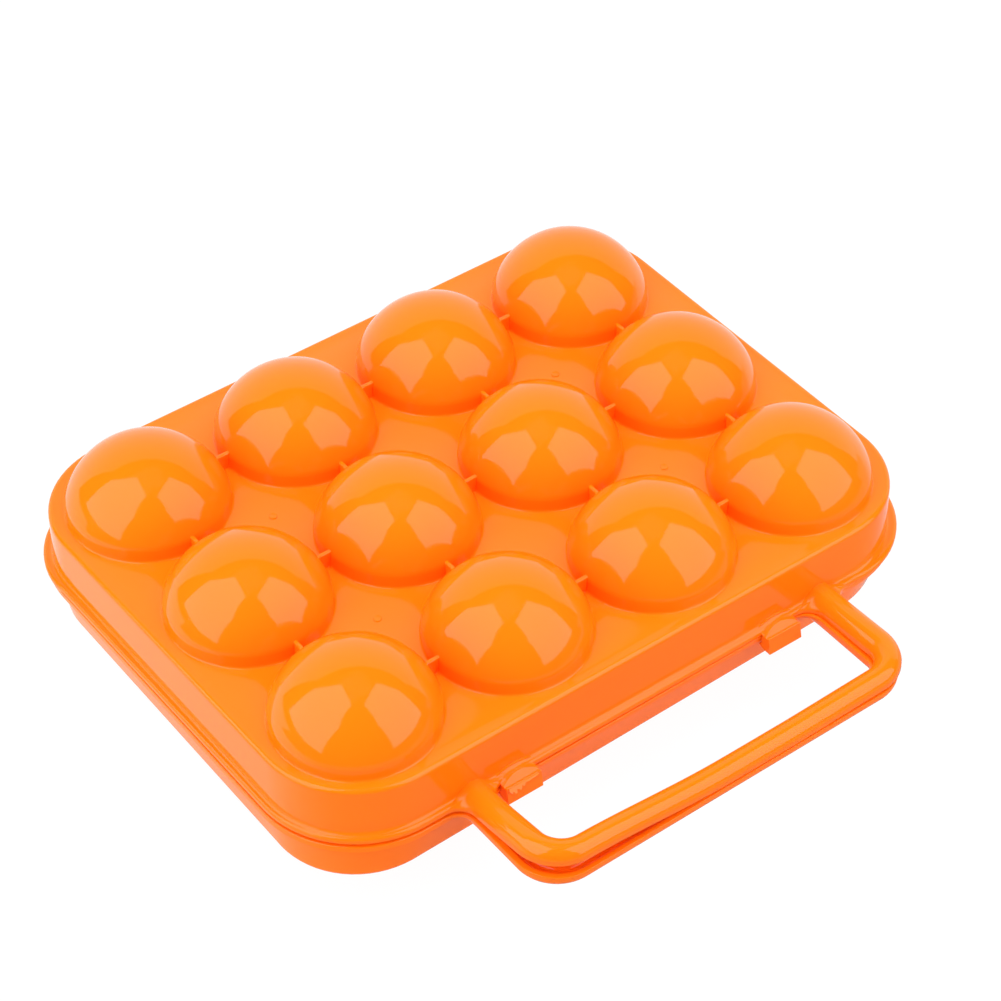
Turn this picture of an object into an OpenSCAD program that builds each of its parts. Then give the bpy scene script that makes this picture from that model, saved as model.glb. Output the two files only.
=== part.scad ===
// Egg carrier for a dozen hen's eggs: a domed lid and a cupped tray, hinged at the back,
// that clip together at the front under a handle made of one half of each shell.

/* [Egg grid] */
// Egg cells along the long side
columns = 4; // [3:1:6]
// Egg cells from front to back
rows = 3; // [2:1:5]
// Distance between the centres of neighbouring cells
pitch = 47; // [46.5:0.5:58]

/* [Shells] */
// Wall thickness of both mouldings
wall = 1.6; // [1.2:0.1:2.2]
// Plate left between the foot of an outer dome and the shoulder of the shell
plate_margin = 5; // [3.5:0.1:9]
// Radius of the rounded shoulder along the plate
shoulder_r = 1.3; // [0.8:0.1:2]
// How far the lid's wall spreads from the shoulder down to its flange
lid_draft = 0.4; // [0:0.1:1.2]
// How far the tray's wall draws in from its flange down to its floor
tray_draft = 1; // [0:0.1:2]
// Radius between the tray's wall and its floor
heel_r = 3; // [2:0.1:4]
// Height of the lid from its lower face to the top of its plate
lid_h = 17.2; // [14:0.1:24]
// Height of the tray from the underside of its floor to its upper face
tray_h = 15.2; // [12:0.1:24]
// Gap between the two shells where they meet
seat_gap = 0.3; // [0.2:0.05:0.6]

/* [Flanges] */
// How far the lid's flange stands out from its wall
lid_flange_w = 2.3; // [1.8:0.1:3.5]
// How far the tray's flange stays behind the edge of the lid's flange
tray_flange_inset = 0.5; // [0.2:0.1:1]
// Thickness of both flanges
flange_t = 1.8; // [1.4:0.1:2.4]
// Radius between the lid's wall and its flange
flange_fillet_r = 1.8; // [1:0.1:1.8]

/* [Domes] */
// Radius of the round top of a dome
dome_r = 23; // [22.6:0.1:25]
// Height of a dome above the plate
dome_rise = 19.8; // [16:0.1:21]
// Radius of a dome where it stands on the plate
dome_foot_r = 22.1; // [20.5:0.1:23]
// Height over which a dome runs nearly straight up before its round top
dome_skirt_h = 4; // [3:0.1:6]
// How far the small flare at the foot of a dome stands out
dome_flare = 0.6; // [0.3:0.1:1]

/* [Cups] */
// Radius of the round underside of a cup
cup_r = 22.1; // [20:0.1:22.5]
// How far the cups hang below the tray's floor
cup_drop = 13.3; // [10:0.1:15]
// Depth cut off the round underside of a cup for it to stand on
cup_flat = 0.6; // [0.3:0.05:0.8]

/* [Ribs] */
// Height of the small ribs that join neighbouring domes and cups
rib_h = 4.9; // [3:0.1:7]
// Thickness of the ribs
rib_t = 1.2; // [0.8:0.1:1.8]
// Radius of the round moulding marks on the plate
mark_r = 1.1; // [0.6:0.1:1.6]
// Height of the moulding marks
mark_h = 0.25; // [0.15:0.05:0.4]

/* [Handle] */
// Distance between the centre lines of the handle's arms
handle_span = 113; // [110:0.5:130]
// Distance from the lid's flange to the centre line of the grip
handle_reach = 29.4; // [24:0.1:40]
// Bend radius of the handle's centre line at its corners
handle_bend_r = 12.5; // [8:0.1:18]
// Radius of the lid's half of the handle
lid_grip_r = 3.8; // [3.4:0.1:4.4]
// Radius of the tray's half of the handle
tray_grip_r = 4.1; // [3.4:0.1:4.8]
// Straight part of each handle half between its edge and its round back
grip_skirt = 1.2; // [0.8:0.1:2]
// How far each handle half widens along its straight part
grip_flare = 0.15; // [0.1:0.05:0.3]
// Radius of the webs that blend the flange into the handle's arms
root_r = 6; // [3:0.1:8]

/* [Latches] */
// Width of a latch
latch_w = 10.8; // [9:0.1:14]
// Distance from a handle arm to the latch beside it
latch_gap = 5; // [3:0.1:9]
// How far a latch stands out from the edge of the lid's flange
latch_out = 2.3; // [2:0.1:4]
// How far a latch reaches below the lid
latch_drop = 5.1; // [4.8:0.1:8]
// How far the top of a latch stands above the flange
latch_top = 1.2; // [0.6:0.1:2.5]
// Thickness of a latch's front and cheeks
latch_t = 1.3; // [1:0.1:1.6]
// How far the hook reaches under the tray's flange
hook_bite = 0.7; // [0.4:0.1:1]
// Gap around the hook and the cheeks of a latch
latch_gap_fit = 0.4; // [0.3:0.05:0.6]
// Width of the arched window over the hook
window_w = 8.4; // [6:0.1:8.6]
// Radius of the window's arched side
window_r = 6.4; // [5.5:0.1:9]

/* [Hinges] */
// Distance from a corner's centre to the hinge beside it
hinge_inset = 25; // [18:0.5:28]
// Radius of the hinge pins
pin_r = 1.5; // [1.2:0.05:1.6]
// Gap between a pin and its eye
pin_gap = 0.08; // [0.04:0.01:0.1]
// Outer radius of the eyes and ears
knuckle_r = 3; // [2.8:0.1:3.4]
// Gap between the flange edge and the eyes
knuckle_gap = 0.4; // [0.3:0.05:0.8]
// Width of an eye along the hinge line
eye_w = 8; // [6:0.1:12]
// Thickness of an ear
ear_t = 2.2; // [1.6:0.1:3]
// Gap between an ear and the eye beside it
ear_gap = 0.3; // [0.2:0.05:0.5]
// Width of the slot through which an eye snaps over its pin
snap_w = 2.3; // [1.8:0.1:2.3]

/* [Hidden] */
$fn = 96;
ROUND_STEPS = 5;
CUT = 1;
BLEND_OFF = 0.15;
SHELL_COLOUR = [1, 0.48, 0.08];

// Centres of the corner domes, which are the centres of the shell's rounded corners too
corner_x = pitch * (columns - 1) / 2;
corner_y = pitch * (rows - 1) / 2;
shoulder_out = dome_foot_r + plate_margin;
lid_wall_out = shoulder_out + lid_draft;
lid_flange_out = lid_wall_out + lid_flange_w;
tray_wall_out = lid_wall_out;
tray_floor_out = tray_wall_out - tray_draft;
tray_flange_out = lid_flange_out - tray_flange_inset;

// Levels above the surface that the carrier stands on
tray_z = cup_drop;
tray_top_z = tray_z + tray_h;
lid_z = tray_top_z + seat_gap;
plate_z = lid_z + lid_h;

// Places from front to back, before the carrier is centred on its footprint
flange_front = corner_y + lid_flange_out;
arm_x = handle_span / 2;
grip_y = -(flange_front + handle_reach);
hinge_y = flange_front + knuckle_gap + knuckle_r;
hinge_z = lid_z - seat_gap / 2;
hinge_x = corner_x - hinge_inset;
latch_x = arm_x - lid_grip_r - latch_gap - latch_w / 2;
latch_y = -(flange_front + latch_out);
footprint_shift = (-(grip_y - tray_grip_r - grip_flare) - hinge_y - knuckle_r) / 2;

// Points of an arc around a centre, from one angle to another
function arc(centre, r, from, to, steps = ROUND_STEPS) =
    [for (i = [0 : steps])
        let (a = from + (to - from) * i / steps)
        [centre[0] + r * cos(a), centre[1] + r * sin(a)]];

// Sweep a section of radius and height round the rounded rectangle of the shell
module swept(low, high) {
    for (i = [0 : 3]) {
        across = i % 2 == 0 ? corner_x : corner_y;
        along = i % 2 == 0 ? corner_y : corner_x;
        rotate([0, 0, 90 * i]) {
            translate([across, along, 0])
                rotate_extrude(angle = 90)
                    children();
            translate([across, 0, 0])
                rotate([90, 0, 0])
                    linear_extrude(height = 2 * along, center = true)
                        children();
        }
    }
    translate([-corner_x, -corner_y, low])
        cube([2 * corner_x, 2 * corner_y, high - low]);
}

module at_cells() {
    for (i = [0 : columns - 1], j = [0 : rows - 1])
        translate([i * pitch - corner_x, j * pitch - corner_y, 0])
            children();
}

// Outside of the lid: plate, rounded shoulder, wall, blend and flange
module lid_outside() {
    swept(0, lid_h)
        polygon(concat(
            [[0, 0], [lid_flange_out, 0], [lid_flange_out, flange_t - 0.5],
             [lid_flange_out - 0.4, flange_t]],
            [for (p = arc([lid_wall_out + flange_fillet_r, flange_t + flange_fillet_r],
                          flange_fillet_r, 270, 180)) p],
            arc([shoulder_out - shoulder_r, lid_h - shoulder_r], shoulder_r, 0, 90),
            [[0, lid_h]]));
}

module lid_cavity() {
    swept(-CUT, lid_h - wall)
        polygon([[0, -CUT], [lid_wall_out - wall, -CUT], [lid_wall_out - wall, 0],
                 [shoulder_out - wall, lid_h - wall - shoulder_r / 2],
                 [shoulder_out - wall - shoulder_r / 2, lid_h - wall], [0, lid_h - wall]]);
}

// One dome, drawn in by the given amount for its inside
module dome(inset, below) {
    centre_z = dome_rise - dome_r;
    skirt_top_r = sqrt(dome_r * dome_r - pow(dome_skirt_h - centre_z, 2));
    slope = (dome_foot_r - skirt_top_r) / dome_skirt_h;
    intersection() {
        translate([0, 0, centre_z])
            sphere(r = dome_r - inset);
        translate([0, 0, -below])
            cylinder(r1 = dome_foot_r - inset + slope * below,
                     r2 = dome_foot_r - inset - slope * (dome_rise + CUT),
                     h = below + dome_rise + CUT);
    }
}

module dome_foot() {
    translate([0, 0, -wall / 2])
        cylinder(r1 = dome_foot_r + dome_flare + wall / 2,
                 r2 = dome_foot_r - 0.3,
                 h = wall / 2 + dome_flare + 0.3);
}

// Ribs between neighbouring cells, from centre to centre; the hollows cut them to length
module ribs(low, high) {
    for (j = [0 : rows - 1])
        translate([-corner_x, j * pitch - corner_y - rib_t / 2, low])
            cube([2 * corner_x, rib_t, high - low]);
    for (i = [0 : columns - 1])
        translate([i * pitch - corner_x - rib_t / 2, -corner_y, low])
            cube([rib_t, 2 * corner_y, high - low]);
}

module moulding_marks() {
    for (i = [0, columns - 2], j = [0 : rows - 2])
        translate([(i + 0.5) * pitch - corner_x, (j + 0.5) * pitch - corner_y, -wall / 2])
            cylinder(r = mark_r, h = wall / 2 + mark_h);
}

// Section of a handle half, open side down, drawn in by the given amount for its hollow
module grip_section(r, inset, below) {
    out = r - inset;
    intersection() {
        translate([0, grip_skirt])
            circle(r = out);
        translate([-out, grip_skirt])
            square([2 * out, out + CUT]);
    }
    polygon([[-out - grip_flare, -below], [out + grip_flare, -below], [out, grip_skirt],
             [-out, grip_skirt]]);
}

// Run a handle section along both arms, round the corners and along the grip
module grip_loop(root_y) {
    bend_x = arm_x - handle_bend_r;
    bend_y = grip_y + handle_bend_r;
    for (side = [0, 1])
        mirror([side, 0, 0]) {
            translate([arm_x, root_y, 0])
                rotate([90, 0, 0])
                    linear_extrude(height = root_y - bend_y)
                        children();
            translate([bend_x, bend_y, 0])
                rotate([0, 0, -90])
                    rotate_extrude(angle = 90)
                        translate([handle_bend_r, 0])
                            children();
        }
    translate([-bend_x, grip_y, 0])
        rotate([90, 0, 90])
            linear_extrude(height = 2 * bend_x)
                children();
}

// Web that blends a flange into both sides of the handle's arms
module root_webs(edge, half_w, r_in, r_out) {
    for (side = [0, 1], inner = [0, 1])
        mirror([side, 0, 0]) {
            r = inner == 1 ? r_in : r_out;
            translate([arm_x, -edge, 0])
                mirror([inner, 0, 0])
                    linear_extrude(height = flange_t)
                        difference() {
                            translate([half_w - 0.5, -r])
                                square([r + 0.5, r + 0.5]);
                            translate([half_w + r - BLEND_OFF, -r + BLEND_OFF])
                                circle(r = r);
                        }
        }
}

module at_latches() {
    for (side = [-1, 1])
        translate([side * latch_x, latch_y, 0])
            children();
}

// A latch: a box in front of the flange with a hook at the foot of its front
module latch() {
    depth = latch_out + lid_flange_w + 0.4;
    under = flange_t + latch_gap_fit + seat_gap;
    hook_y = latch_out + tray_flange_inset + hook_bite;
    translate([-latch_w / 2, 0, 0])
        cube([latch_w, depth, flange_t + latch_top]);
    translate([-latch_w / 2, 0, -latch_drop])
        cube([latch_w, latch_t, latch_drop + CUT]);
    for (x = [-latch_w / 2, latch_w / 2 - latch_t])
        translate([x, 0, -latch_drop])
            cube([latch_t, depth - 0.4 - latch_gap_fit, latch_drop + CUT]);
    translate([-latch_w / 2, 0, -latch_drop])
        cube([latch_w, hook_y, latch_drop - under]);
}

// The arched window over the hook, through the roof of the latch
module latch_window() {
    sag = window_r - sqrt(window_r * window_r - window_w * window_w / 4);
    translate([0, latch_t, -0.5])
        linear_extrude(height = flange_t + latch_top + CUT)
            intersection() {
                translate([0, sag - window_r])
                    circle(r = window_r);
                translate([-window_w / 2, 0])
                    square([window_w, sag + CUT]);
            }
}

module at_hinges() {
    for (side = [-1, 1])
        translate([side * hinge_x, hinge_y, 0])
            children();
}

// Two ears on the lid's flange with the pin between them
module hinge_ears() {
    reach = knuckle_r + knuckle_gap + lid_flange_w / 2;
    for (side = [-1, 1])
        translate([side * (eye_w / 2 + ear_gap + ear_t / 2) - ear_t / 2, 0, 0]) {
            translate([0, 0, hinge_z - lid_z])
                rotate([0, 90, 0])
                    cylinder(r = knuckle_r, h = ear_t);
            translate([0, -reach, 0])
                cube([ear_t, reach, knuckle_r - 0.5]);
        }
    translate([-eye_w / 2 - ear_gap - ear_t / 2, 0, hinge_z - lid_z])
        rotate([0, 90, 0])
            cylinder(r = pin_r, h = eye_w + 2 * ear_gap + ear_t);
}

// An eye on the tray's flange, slotted at the back so that it snaps over the pin
module hinge_eye() {
    reach = knuckle_r + knuckle_gap + lid_flange_w / 2;
    web_t = knuckle_r - seat_gap - 0.3;
    difference() {
        union() {
            translate([-eye_w / 2, 0, hinge_z])
                rotate([0, 90, 0])
                    cylinder(r = knuckle_r, h = eye_w);
            translate([-eye_w / 2, -reach, hinge_z - knuckle_r + 0.1])
                cube([eye_w, reach, web_t]);
        }
        translate([-eye_w / 2 - CUT, 0, hinge_z])
            rotate([0, 90, 0])
                cylinder(r = pin_r + pin_gap, h = eye_w + 2 * CUT);
        translate([-eye_w / 2 - CUT, 0, hinge_z - snap_w / 2])
            cube([eye_w + 2 * CUT, knuckle_r + CUT, snap_w]);
    }
}

// Outside of the tray: floor, rounded heel, wall and flange
module tray_outside() {
    swept(0, tray_h)
        polygon(concat(
            [[0, 0]],
            arc([tray_floor_out - heel_r, heel_r], heel_r, 270, 360),
            [[tray_wall_out, tray_h - flange_t], [tray_flange_out - 0.3, tray_h - flange_t],
             [tray_flange_out, tray_h - flange_t + 0.4], [tray_flange_out, tray_h], [0, tray_h]]));
}

module tray_cavity() {
    swept(wall, tray_h + CUT)
        polygon([[0, wall], [tray_floor_out - wall - heel_r / 2, wall],
                 [tray_floor_out - wall, wall + heel_r / 2], [tray_wall_out - wall, tray_h],
                 [tray_wall_out - wall, tray_h + CUT], [0, tray_h + CUT]]);
}

// One cup, drawn in by the given amount for its inside, standing on the surface at height 0
module cup(inset, top) {
    intersection() {
        translate([0, 0, cup_r - cup_flat])
            sphere(r = cup_r - inset);
        cylinder(r = cup_r + CUT, h = top);
    }
}

// Notches that let the cheeks of a latch past the tray's flange
module latch_notches() {
    half = latch_w / 2;
    depth = latch_out + lid_flange_w - latch_gap_fit / 2;
    for (x = [-half - latch_gap_fit, half - latch_t - latch_gap_fit])
        translate([x, 0, tray_top_z - flange_t - CUT / 2])
            cube([latch_t + 2 * latch_gap_fit, depth, flange_t + CUT]);
}

module lid_shell() {
    difference() {
        union() {
            lid_outside();
            translate([0, 0, lid_h]) {
                at_cells() {
                    dome(0, wall / 2);
                    dome_foot();
                }
                ribs(-wall / 2, rib_h);
                moulding_marks();
            }
            grip_loop(-(corner_y + shoulder_out - wall / 2))
                grip_section(lid_grip_r, 0, 0);
            root_webs(flange_front, lid_grip_r, root_r / 2, root_r);
            at_latches()
                latch();
        }
        lid_cavity();
        translate([0, 0, lid_h])
            at_cells()
                dome(wall, wall + CUT);
        grip_loop(-(corner_y + lid_wall_out))
            grip_section(lid_grip_r, wall, CUT);
        at_latches()
            latch_window();
    }
    at_hinges()
        hinge_ears();
}

module tray_shell() {
    difference() {
        union() {
            translate([0, 0, tray_z]) {
                tray_outside();
                ribs(-rib_h, wall / 2);
            }
            at_cells()
                cup(0, tray_z + wall / 2);
            translate([0, 0, tray_top_z])
                mirror([0, 0, 1]) {
                    grip_loop(-(corner_y + tray_wall_out - tray_draft - wall / 2))
                        grip_section(tray_grip_r, 0, 0);
                    root_webs(flange_front - tray_flange_inset, tray_grip_r, root_r / 2, root_r);
                }
        }
        translate([0, 0, tray_z])
            tray_cavity();
        at_cells()
            cup(wall, tray_z + wall + CUT);
        translate([0, 0, tray_top_z])
            mirror([0, 0, 1])
                grip_loop(-(corner_y + tray_wall_out))
                    grip_section(tray_grip_r, wall, CUT);
        at_latches()
            latch_notches();
    }
    at_hinges()
        hinge_eye();
}

module lid() {
    color(SHELL_COLOUR)
        translate([0, footprint_shift, lid_z])
            lid_shell();
}

module tray() {
    color(SHELL_COLOUR)
        translate([0, footprint_shift, 0])
            tray_shell();
}

lid();
tray();
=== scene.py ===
"""Looks of a closed carrier for twelve eggs: two glossy orange mouldings in a white photographic studio."""

import logging
import math
from dataclasses import dataclass, field
from enum import Enum

import bmesh
import bpy
from mathutils import Euler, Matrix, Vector


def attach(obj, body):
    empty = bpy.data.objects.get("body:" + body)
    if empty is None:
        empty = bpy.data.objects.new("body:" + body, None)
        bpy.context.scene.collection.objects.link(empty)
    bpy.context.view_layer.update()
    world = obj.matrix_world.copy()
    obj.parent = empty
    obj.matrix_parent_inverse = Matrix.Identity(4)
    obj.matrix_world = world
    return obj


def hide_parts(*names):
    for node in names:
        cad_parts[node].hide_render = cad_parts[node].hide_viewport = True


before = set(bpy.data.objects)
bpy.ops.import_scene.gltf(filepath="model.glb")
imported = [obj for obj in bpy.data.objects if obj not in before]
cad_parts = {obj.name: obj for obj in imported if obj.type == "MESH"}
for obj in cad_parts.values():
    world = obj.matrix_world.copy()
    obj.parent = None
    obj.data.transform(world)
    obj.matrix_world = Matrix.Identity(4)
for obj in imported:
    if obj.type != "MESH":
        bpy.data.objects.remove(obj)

LOG = logging.getLogger("egg_carrier")
MM = 0.001
Point = tuple[float, float, float]
Spot = tuple[float, float]
Profile = list[Spot]


class Turn(Enum):
    """The way a handle half faces."""

    OPEN_BELOW = 1
    OPEN_ABOVE = -1


def metres(point: Vector | Point) -> list[float]:
    """Turns millimetres into Blender's metres."""
    return [c * MM for c in point]


def deselect() -> None:
    """Leaves edit mode and deselects every object."""
    if bpy.context.object and bpy.context.object.mode == "EDIT":
        bpy.ops.object.mode_set(mode="OBJECT")
    bpy.ops.object.select_all(action="DESELECT")


def pick(piece: bpy.types.Object) -> None:
    """Selects one object and makes it the active one.

    Args:
        piece: The object.
    """
    deselect()
    bpy.context.view_layer.objects.active = piece
    piece.select_set(True)


def edit_whole(piece: bpy.types.Object) -> None:
    """Opens an object in edit mode with its whole mesh selected.

    Args:
        piece: The object.
    """
    pick(piece)
    bpy.ops.object.mode_set(mode="EDIT")
    bpy.ops.mesh.select_all(action="SELECT")


def select_only(mesh: bmesh.types.BMesh, verts: list[bmesh.types.BMVert]) -> None:
    """Selects some vertices of the mesh in edit mode and nothing else.

    Args:
        mesh: The mesh.
        verts: The vertices.
    """
    for vert in mesh.verts:
        vert.select = False
    for vert in verts:
        vert.select = True
    mesh.select_flush_mode()
    bmesh.update_edit_mesh(bpy.context.object.data)


def arc(across: float, up: float, radius: float, start: float, end: float, steps: int) -> Profile:
    """Points of an arc in a profile's plane.

    Args:
        across: Centre of the arc away from the profile's axis, in millimetres.
        up: Height of the centre.
        radius: Radius of the arc.
        start: First angle in degrees, where 0 points away from the axis and 90 upwards.
        end: Last angle in degrees.
        steps: Number of chords.

    Returns:
        The points from the first angle to the last.
    """
    turns = [math.radians(start + (end - start) * i / steps) for i in range(steps + 1)]
    return [(across + radius * math.cos(t), up + radius * math.sin(t)) for t in turns]


def share(value: float) -> float:
    """Keeps a value between 0 and 1."""
    return min(1.0, max(0.0, value))


def smooth_step(value: float) -> float:
    """Rises softly from 0 to 1 while value does."""
    value = share(value)
    return value * value * (3 - 2 * value)


class Pen:
    """Draws one mesh in edit mode with extrude, spin and move, in millimetres."""

    merge_within = 1e-6

    def __init__(self, name: str, start: Point) -> None:
        """Puts down a first vertex.

        Args:
            name: Name of the mesh object.
            start: Place of the vertex.
        """
        deselect()
        bpy.ops.mesh.primitive_plane_add(size=MM, location=metres(start))
        bpy.ops.object.transform_apply(location=True, rotation=True, scale=True)
        bpy.context.object.name = name
        bpy.ops.object.mode_set(mode="EDIT")
        bpy.ops.mesh.select_all(action="SELECT")
        bpy.ops.mesh.merge(type="CENTER")
        self.at = Vector(start)

    def line(self, points: list[Point]) -> None:
        """Draws a line through points from where the pen is."""
        for point in points:
            self.slide(Vector(point) - self.at)
            self.at = Vector(point)

    def slide(self, step: Vector | Point) -> None:
        """Extrudes what is selected along a step."""
        bpy.ops.mesh.extrude_region_move(TRANSFORM_OT_translate={"value": metres(step)})

    def shift(self, step: Vector | Point) -> None:
        """Moves what is selected by a step."""
        bpy.ops.transform.translate(value=metres(step))

    def turn(self, degrees: float, centre: Point, steps: int, axis: Point = (0, 0, 1)) -> None:
        """Spins what is selected about an axis, counter-clockwise as seen from the axis' far end.

        Args:
            degrees: How far it spins.
            centre: A point of the axis.
            steps: Faces along the way.
            axis: Direction of the axis.
        """
        angle = -math.radians(degrees)
        bpy.ops.mesh.spin(steps=steps, dupli=False, angle=angle, center=metres(centre), axis=axis)

    def everything(self) -> None:
        """Selects the whole mesh."""
        bpy.ops.mesh.select_all(action="SELECT")

    def close_ring(self) -> None:
        """Joins the drawn line's two ends."""
        mesh = bmesh.from_edit_mesh(bpy.context.object.data)
        for vert in mesh.verts:
            vert.select = len(vert.link_edges) == 1
        mesh.select_flush_mode()
        bmesh.update_edit_mesh(bpy.context.object.data)
        bpy.ops.mesh.edge_face_add()

    def done(self) -> bpy.types.Object:
        """Merges doubled vertices and leaves edit mode.

        Returns:
            The finished object.
        """
        self.everything()
        bpy.ops.mesh.remove_doubles(threshold=self.merge_within)
        bpy.ops.object.mode_set(mode="OBJECT")
        return bpy.context.object


def in_box(place: Vector, low: Point, high: Point, slack: float = 0.01) -> bool:
    """Tells whether a place lies in a box.

    Args:
        place: The place, in metres.
        low: Lowest corner of the box, in millimetres.
        high: Highest corner.
        slack: How far outside the box still counts.

    Returns:
        Whether it does.
    """
    return all(low[i] - slack <= place[i] / MM <= high[i] + slack for i in range(3))


def fill_openings(piece: bpy.types.Object, boxes: list[tuple[Point, Point]]) -> None:
    """Closes flat openings of a mesh.

    Args:
        piece: The object.
        boxes: Lowest and highest corner of a box round the open edges of each opening.
    """
    pick(piece)
    bpy.ops.object.mode_set(mode="EDIT")
    for low, high in boxes:
        bpy.ops.mesh.select_all(action="DESELECT")
        mesh = bmesh.from_edit_mesh(piece.data)
        for edge in mesh.edges:
            edge.select = edge.is_boundary and all(in_box(vert.co, low, high) for vert in edge.verts)
        bmesh.update_edit_mesh(piece.data)
        bpy.ops.mesh.fill(use_beauty=True)
    bpy.ops.object.mode_set(mode="OBJECT")


def gather(pieces: list[bpy.types.Object]) -> bpy.types.Object:
    """Joins objects into the first one and merges doubled vertices.

    Args:
        pieces: The objects.

    Returns:
        The first one.
    """
    deselect()
    for piece in pieces:
        piece.select_set(True)
    bpy.context.view_layer.objects.active = pieces[0]
    if len(pieces) > 1:
        bpy.ops.object.join()
    edit_whole(pieces[0])
    bpy.ops.mesh.remove_doubles(threshold=2e-6)
    bpy.ops.object.mode_set(mode="OBJECT")
    return pieces[0]


def turn_outwards(piece: bpy.types.Object) -> None:
    """Makes the faces of a closed mesh point outwards.

    Args:
        piece: The object.
    """
    edit_whole(piece)
    bpy.ops.mesh.normals_make_consistent(inside=False)
    bpy.ops.object.mode_set(mode="OBJECT")


def turn_towards(sheet: bpy.types.Object, point: Vector) -> None:
    """Turns a lamp's open surface over where it faces away from a point.

    Args:
        sheet: The surface.
        point: The point, in metres.
    """
    face = sheet.data.polygons[0]
    if face.normal.dot(point - face.center) < 0:
        edit_whole(sheet)
        bpy.ops.mesh.flip_normals()
        bpy.ops.object.mode_set(mode="OBJECT")


def copy_to(piece: bpy.types.Object, steps: list[Point]) -> list[bpy.types.Object]:
    """Copies an object, each copy with its own mesh.

    Args:
        piece: The object to copy.
        steps: How far each copy lies from the piece, in millimetres.

    Returns:
        The piece and its copies.
    """
    made = [piece]
    for step in steps:
        pick(piece)
        bpy.ops.object.duplicate_move(TRANSFORM_OT_translate={"value": metres(step)})
        bpy.ops.object.transform_apply(location=True, rotation=True, scale=True)
        made.append(bpy.context.object)
    return made


def mirror_copy(piece: bpy.types.Object) -> bpy.types.Object:
    """Copies an object to the other side of the carrier's middle.

    Args:
        piece: The object.

    Returns:
        The mirrored copy.
    """
    copy = copy_to(piece, [(0, 0, 0)])[1]
    edit_whole(copy)
    bpy.ops.transform.resize(value=(-1, 1, 1), center_override=(0, 0, 0))
    bpy.ops.mesh.normals_make_consistent(inside=False)
    bpy.ops.object.mode_set(mode="OBJECT")
    return copy


def modify(piece: bpy.types.Object, kind: str, **settings: object) -> None:
    """Applies a modifier to an object.

    Args:
        piece: The object.
        kind: Type of the modifier.
        settings: Its settings by name.
    """
    pick(piece)
    bpy.ops.object.modifier_add(type=kind)
    modifier = piece.modifiers[-1]
    for name, value in settings.items():
        setattr(modifier, name, value)
    bpy.ops.object.modifier_apply(modifier=modifier.name)


def combine(piece: bpy.types.Object, operand: bpy.types.Object) -> None:
    """Adds a closed mesh to another one.

    Args:
        piece: The mesh that grows.
        operand: The mesh that is added, whose object is removed.
    """
    modify(piece, "BOOLEAN", operation="UNION", solver="EXACT", object=operand)
    bpy.data.objects.remove(operand)


def soften(piece: bpy.types.Object, width: float, segments: int = 3, sharper_than: float = 50) -> None:
    """Rounds the sharp edges of a small piece.

    Args:
        piece: The object.
        width: Width of the bevel, in millimetres.
        segments: Faces across it.
        sharper_than: Angle in degrees from which an edge is rounded.
    """
    angle = math.radians(sharper_than)
    modify(piece, "BEVEL", width=width * MM, segments=segments, limit_method="ANGLE", angle_limit=angle)


def block(name: str, low: Point, high: Point) -> bpy.types.Object:
    """Adds a box.

    Args:
        name: Name of the object.
        low: Lowest corner, in millimetres.
        high: Highest corner.

    Returns:
        The box.
    """
    deselect()
    middle = [(a + b) / 2 * MM for a, b in zip(low, high)]
    size = [(b - a) * MM for a, b in zip(low, high)]
    bpy.ops.mesh.primitive_cube_add(size=1, location=middle, scale=size)
    bpy.ops.object.transform_apply(location=True, rotation=True, scale=True)
    bpy.context.object.name = name
    return bpy.context.object


def rod(
    radius: float, length: float, middle: Point, vertices: int, rotation: Point = (0, 0, 0)
) -> bpy.types.Object:
    """Adds a cylinder, upright unless it is turned.

    Args:
        radius: Its radius, in millimetres.
        length: Its length.
        middle: Its middle.
        vertices: Corners round it.
        rotation: How it is turned, in radians.

    Returns:
        The cylinder.
    """
    deselect()
    bpy.ops.mesh.primitive_cylinder_add(
        vertices=vertices, radius=radius * MM, depth=length * MM, location=metres(middle), rotation=rotation
    )
    bpy.ops.object.transform_apply(location=True, rotation=True, scale=True)
    return bpy.context.object


def prism(name: str, outline: list[Point], step: Point, slices: int = 1) -> bpy.types.Object:
    """Draws a flat outline out into a closed solid.

    Args:
        name: Name of the object.
        outline: Corners of the outline.
        step: How far each slice reaches.
        slices: Number of slices.

    Returns:
        The solid.
    """
    pen = Pen(name, outline[0])
    pen.line(outline[1:])
    pen.close_ring()
    pen.everything()
    bpy.ops.mesh.edge_face_add()
    for _ in range(slices):
        pen.slide(step)
    solid = pen.done()
    turn_outwards(solid)
    return solid


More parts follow.
